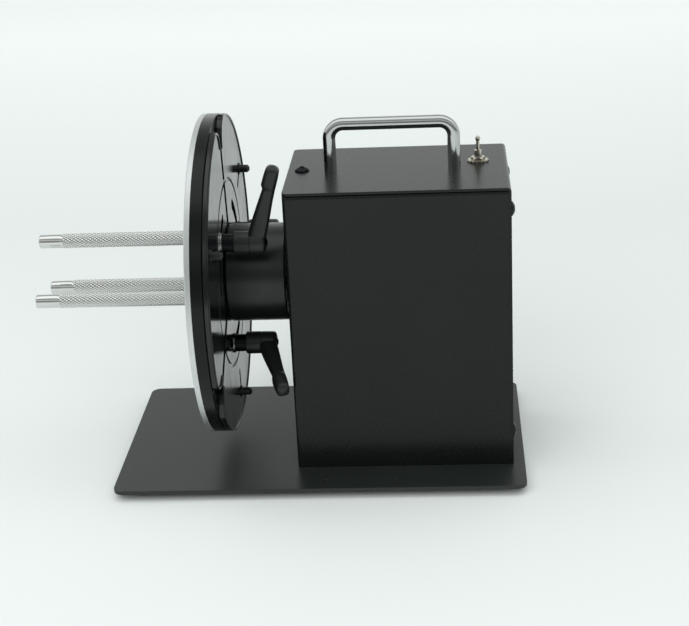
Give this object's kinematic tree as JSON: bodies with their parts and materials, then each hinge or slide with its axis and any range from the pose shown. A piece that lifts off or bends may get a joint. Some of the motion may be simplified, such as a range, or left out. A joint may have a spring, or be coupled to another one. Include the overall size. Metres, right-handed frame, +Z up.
{
  "type": "label rewinder",
  "caption": "Motorised label rewinder: upright case on a base plate turns a flanged disc with knurled core pins that open and close together on a scroll, held by clamping levers.",
  "frame": {"origin": "on the floor under the feet, at the middle of the whole outline", "axes": "+X along the spindle from the core pins to the rear end of the case, +Z up"},
  "size_m": [0.3848, 0.254, 0.281],
  "materials": {
    "base_coat": "fine satin powder coat on the base plate",
    "case_coat": "fine satin powder coat on folded sheet",
    "foot_rubber": "matt moulded rubber",
    "black_screw": "black oxide screw",
    "plain_screw": "zinc plated screw",
    "handle_steel": "polished stainless bar",
    "switch_nickel": "nickel plated switch parts",
    "switch_case": "moulded switch body with plated bushing",
    "black_anodised": "turned and black anodised",
    "bright_aluminium": "turned, bright",
    "gloss_black": "polished black",
    "lever_plastic": "fine textured moulding",
    "spindle_steel": "ground steel",
    "dark_steel": "blackened steel",
    "bearing_steel": "ground bearing steel",
    "gear_alloy": "cast alloy",
    "motor_paint": "black painted can",
    "spider_rubber": "moulded elastomer",
    "board_green": "solder mask",
    "board_parts": "moulded parts",
    "lead_jacket": "flexible jacket"
  },
  "bodies": {
    "case": {"base_plate": "base_coat", "rubber_feet": "foot_rubber", "chassis": "case_coat", "cover": "case_coat", "cover_screws": "black_screw", "chassis_screws": "plain_screw", "carry_handle": "handle_steel", "handle_screws": "plain_screw", "switch_body": "switch_case", "switch_washer": "switch_nickel", "switch_nut": "switch_nickel", "bearing_housing": "black_anodised", "housing_screws": "black_screw", "bearing_outer_rings": "bearing_steel", "motor_bracket": "case_coat", "bracket_screws": "plain_screw", "gearbox": "gear_alloy", "motor": "motor_paint", "control_board": "board_green", "board_components": "board_parts", "board_standoffs": "plain_screw", "power_inlet": "lever_plastic", "inlet_nut": "plain_screw", "wiring": "lead_jacket"},
    "bat": {"switch_bat": "switch_nickel"},
    "spindle": {"spindle_shaft": "spindle_steel", "coupling_jaws": "gear_alloy", "coupling_spider": "spider_rubber", "gearbox_shaft": "spindle_steel", "hub": "black_anodised", "hub_set_screws": "black_screw", "scroll_disc": "gloss_black", "face_plate": "bright_aluminium", "face_screws": "plain_screw", "nose_washer": "plain_screw", "nose_screw": "black_screw", "bearing_inner_rings": "bearing_steel"},
    "guide": {"guide_plate": "gloss_black", "finger_posts": "lever_plastic"},
    "pin_1": {"core_pin_1": "bright_aluminium", "pin_shoe_1": "spindle_steel"},
    "clamp_1": {"clamp_stud_1": "dark_steel", "clamp_washer_1": "plain_screw", "lever_screw_1": "dark_steel"},
    "handle_1": {"lever_1": "lever_plastic"},
    "pin_2": {"core_pin_2": "bright_aluminium", "pin_shoe_2": "spindle_steel"},
    "clamp_2": {"clamp_stud_2": "dark_steel", "clamp_washer_2": "plain_screw", "lever_screw_2": "dark_steel"},
    "handle_2": {"lever_2": "lever_plastic"},
    "pin_3": {"core_pin_3": "bright_aluminium", "pin_shoe_3": "spindle_steel"},
    "clamp_3": {"clamp_stud_3": "dark_steel", "clamp_washer_3": "plain_screw", "lever_screw_3": "dark_steel"},
    "handle_3": {"lever_3": "lever_plastic"}
  },
  "joints": [
    {"name": "spindle_spin", "type": "hinge", "parent": "case", "child": "spindle", "pos_m": [0.01185, 0, 0.154], "axis": [1, 0, 0], "continuous": true},
    {"name": "guide_turn", "type": "hinge", "parent": "spindle", "child": "guide", "pos_m": [-0.04083, 0, 0.154], "axis": [1, 0, 0], "range_deg": [-34, 19]},
    {"name": "pin_slide_1", "type": "slide", "parent": "guide", "child": "pin_1", "axis": [0, -0.1219, 0.9925], "range_m": [-0.0119, 0.0213]},
    {"name": "pin_slide_2", "type": "slide", "parent": "guide", "child": "pin_2", "axis": [0, -0.7986, -0.6018], "range_m": [-0.0119, 0.0213]},
    {"name": "pin_slide_3", "type": "slide", "parent": "guide", "child": "pin_3", "axis": [0, 0.9205, -0.3907], "range_m": [-0.0119, 0.0213]},
    {"name": "clamp_turn_1", "type": "hinge", "parent": "spindle", "child": "clamp_1", "pos_m": [-0.03095, -0.04205, 0.19321], "axis": [1, 0, 0], "range_deg": [0, 75]},
    {"name": "clamp_turn_2", "type": "hinge", "parent": "spindle", "child": "clamp_2", "pos_m": [-0.03095, -0.01294, 0.09797], "axis": [1, 0, 0], "range_deg": [0, 75]},
    {"name": "clamp_turn_3", "type": "hinge", "parent": "spindle", "child": "clamp_3", "pos_m": [-0.03095, 0.05499, 0.17081], "axis": [1, 0, 0], "range_deg": [0, 75]},
    {"name": "lever_lift_1", "type": "slide", "parent": "clamp_1", "child": "handle_1", "axis": [1, 0, 0], "range_m": [0, 0.002], "stiffness_N_per_m": 600, "springref_m": -0.003},
    {"name": "lever_lift_2", "type": "slide", "parent": "clamp_2", "child": "handle_2", "axis": [1, 0, 0], "range_m": [0, 0.002], "stiffness_N_per_m": 600, "springref_m": -0.003},
    {"name": "lever_lift_3", "type": "slide", "parent": "clamp_3", "child": "handle_3", "axis": [1, 0, 0], "range_m": [0, 0.002], "stiffness_N_per_m": 600, "springref_m": -0.003},
    {"name": "switch_flip", "type": "hinge", "parent": "case", "child": "bat", "pos_m": [0.16035, 0.013, 0.2428], "axis": [0, 1, 0], "range_deg": [-12, 12]}
  ],
  "couplings": [
    {"joint": "pin_slide_1", "follows": "guide_turn", "m_per_rad": -0.03581},
    {"joint": "pin_slide_2", "follows": "guide_turn", "m_per_rad": -0.03581},
    {"joint": "pin_slide_3", "follows": "guide_turn", "m_per_rad": -0.03581}
  ]
}
